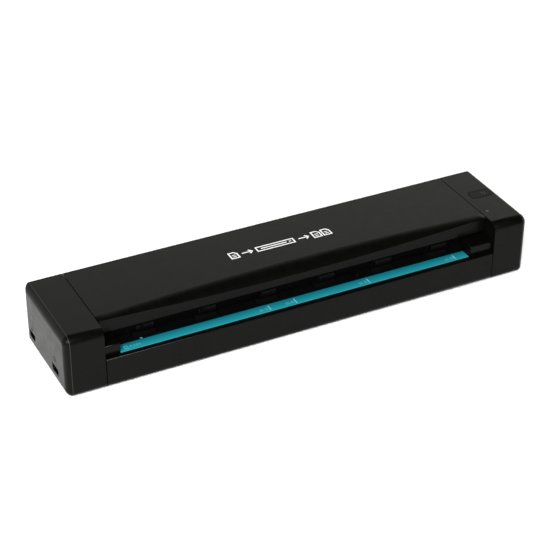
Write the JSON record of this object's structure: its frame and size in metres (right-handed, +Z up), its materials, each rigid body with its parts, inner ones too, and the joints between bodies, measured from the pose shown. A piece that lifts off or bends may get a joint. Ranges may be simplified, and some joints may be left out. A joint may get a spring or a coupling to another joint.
{
  "type": "sheet fed document scanner",
  "caption": "Slim portable sheet fed scanner bar with a hinged scooped top cover, end caps, a front paper mouth, drive rollers and image sensors.",
  "frame": {"origin": "on the surface that the feet stand on, below the middle of the case", "axes": "+X along the bar towards the end with the button, +Y from the front mouth to the back, +Z up"},
  "size_m": [0.295, 0.0642, 0.0395],
  "materials": {
    "case_plastic": "fine matt moulded black",
    "inner_plastic": "plain moulded black",
    "guide_strip": "translucent blue-green, satin",
    "button_plastic": "satin black",
    "light_pipe": "clear moulded",
    "foot_rubber": "soft matt",
    "roller_rubber": "ground rubber",
    "pinch_plastic": "moulded black acetal",
    "gear_plastic": "moulded acetal",
    "bush_plastic": "sintered look",
    "steel": "ground",
    "zinc_steel": "zinc plated",
    "spring_steel": "drawn wire",
    "brass": "turned",
    "scan_glass": "clear float glass",
    "board": "solder mask",
    "chips": "moulded epoxy",
    "cable": "flat cable film",
    "label_film": "printed film"
  },
  "bodies": {
    "base": {"lower_housing": "case_plastic", "left_end_cap": "case_plastic", "right_end_cap": "case_plastic", "left_side_frame": "inner_plastic", "right_side_frame": "inner_plastic", "entry_guide_strip": "guide_strip", "left_slot_cheek": "case_plastic", "right_slot_cheek": "case_plastic", "lower_paper_guide": "inner_plastic", "rubber_feet": "foot_rubber", "underside_label": "label_film", "case_screws": "zinc_steel", "frame_screws": "zinc_steel", "small_screws": "zinc_steel", "main_board": "board", "board_components": "chips", "usb_port": "steel", "power_port": "steel", "lower_scan_body": "inner_plastic", "lower_scan_glass": "scan_glass", "lower_scan_cable": "cable", "upper_scan_cable": "cable", "left_hinge_pin": "steel", "right_hinge_pin": "steel", "left_cover_latch": "spring_steel", "right_cover_latch": "spring_steel", "shaft_bushes": "bush_plastic", "stepper_motor": "zinc_steel", "motor_bracket": "zinc_steel", "gear_pins": "steel", "button_board": "board", "button_switch": "chips", "status_light_pipe": "light_pipe", "paper_sensor": "chips", "sensor_lever_spring": "spring_steel"},
    "cover": {"top_cover": "case_plastic", "upper_paper_guide": "inner_plastic", "cover_screws": "zinc_steel", "upper_scan_springs": "spring_steel", "front_pinch_springs": "spring_steel", "rear_pinch_springs": "spring_steel"},
    "upper_scan": {"upper_scan_body": "inner_plastic", "upper_scan_glass": "scan_glass"},
    "front_pinch": {"front_pinch_axle": "steel"},
    "rear_pinch": {"rear_pinch_axle": "steel"},
    "front_pinch_roll": {"front_pinch_rollers": "pinch_plastic"},
    "rear_pinch_roll": {"rear_pinch_rollers": "pinch_plastic"},
    "front_drive": {"front_drive_shaft": "steel", "front_drive_rollers": "roller_rubber", "front_shaft_gear": "gear_plastic"},
    "rear_drive": {"rear_drive_shaft": "steel", "rear_drive_rollers": "roller_rubber", "rear_shaft_gear": "gear_plastic"},
    "transfer_wheel": {"transfer_gear": "gear_plastic"},
    "reduction_wheel": {"reduction_gear": "gear_plastic"},
    "motor_rotor": {"motor_shaft": "steel", "motor_pinion": "brass"},
    "button": {"scan_button": "button_plastic", "switch_plunger": "button_plastic"},
    "sensor_lever": {"paper_sensor_lever": "inner_plastic"}
  },
  "joints": [
    {"name": "cover_hinge", "type": "hinge", "parent": "base", "child": "cover", "pos_m": [0, 0.0294, 0.0254], "axis": [-1, 0, 0], "range_deg": [0, 75], "deforming": ["upper_scan_cable"]},
    {"name": "upper_scan_float", "type": "slide", "parent": "cover", "child": "upper_scan", "axis": [0, 0, 1], "range_m": [0, 0.0006], "stiffness_N_per_m": 500, "springref_m": -0.004, "deforming": ["upper_scan_springs"]},
    {"name": "front_pinch_lift", "type": "slide", "parent": "cover", "child": "front_pinch", "axis": [0, 0, 1], "range_m": [0, 0.0008], "stiffness_N_per_m": 400, "springref_m": -0.004, "deforming": ["front_pinch_springs"]},
    {"name": "rear_pinch_lift", "type": "slide", "parent": "cover", "child": "rear_pinch", "axis": [0, 0, 1], "range_m": [0, 0.0008], "stiffness_N_per_m": 400, "springref_m": -0.004, "deforming": ["rear_pinch_springs"]},
    {"name": "front_drive_spin", "type": "hinge", "parent": "base", "child": "front_drive", "pos_m": [0, -0.013, 0.0137], "axis": [1, 0, 0], "continuous": true},
    {"name": "rear_drive_spin", "type": "hinge", "parent": "base", "child": "rear_drive", "pos_m": [0, 0.018, 0.0137], "axis": [1, 0, 0], "continuous": true},
    {"name": "front_pinch_spin", "type": "hinge", "parent": "front_pinch", "child": "front_pinch_roll", "pos_m": [0, -0.013, 0.0248], "axis": [1, 0, 0], "continuous": true},
    {"name": "rear_pinch_spin", "type": "hinge", "parent": "rear_pinch", "child": "rear_pinch_roll", "pos_m": [0, 0.018, 0.0248], "axis": [1, 0, 0], "continuous": true},
    {"name": "transfer_spin", "type": "hinge", "parent": "base", "child": "transfer_wheel", "pos_m": [0, 0.0025, 0.0137], "axis": [1, 0, 0], "continuous": true},
    {"name": "reduction_spin", "type": "hinge", "parent": "base", "child": "reduction_wheel", "pos_m": [0, 0.00775, 0.02279], "axis": [1, 0, 0], "continuous": true},
    {"name": "motor_spin", "type": "hinge", "parent": "base", "child": "motor_rotor", "pos_m": [0, 0.01875, 0.02279], "axis": [1, 0, 0], "continuous": true},
    {"name": "button_press", "type": "slide", "parent": "base", "child": "button", "axis": [0, 0, -1], "range_m": [0, 0.0005], "stiffness_N_per_m": 600, "springref_m": -0.0005},
    {"name": "sensor_lever_swing", "type": "hinge", "parent": "base", "child": "sensor_lever", "pos_m": [0, -0.0214, 0.0125], "axis": [-1, 0, 0], "range_deg": [0, 40], "stiffness_Nm_per_rad": 0.0004, "springref_deg": -28.65}
  ],
  "couplings": [
    {"joint": "rear_drive_spin", "follows": "front_drive_spin", "ratio": 1},
    {"joint": "transfer_spin", "follows": "front_drive_spin", "ratio": -1.0667},
    {"joint": "reduction_spin", "follows": "front_drive_spin", "ratio": 2.6667},
    {"joint": "motor_spin", "follows": "front_drive_spin", "ratio": -7.1111},
    {"joint": "front_pinch_spin", "follows": "front_drive_spin", "ratio": -1.4222},
    {"joint": "rear_pinch_spin", "follows": "front_drive_spin", "ratio": -1.4222}
  ]
}
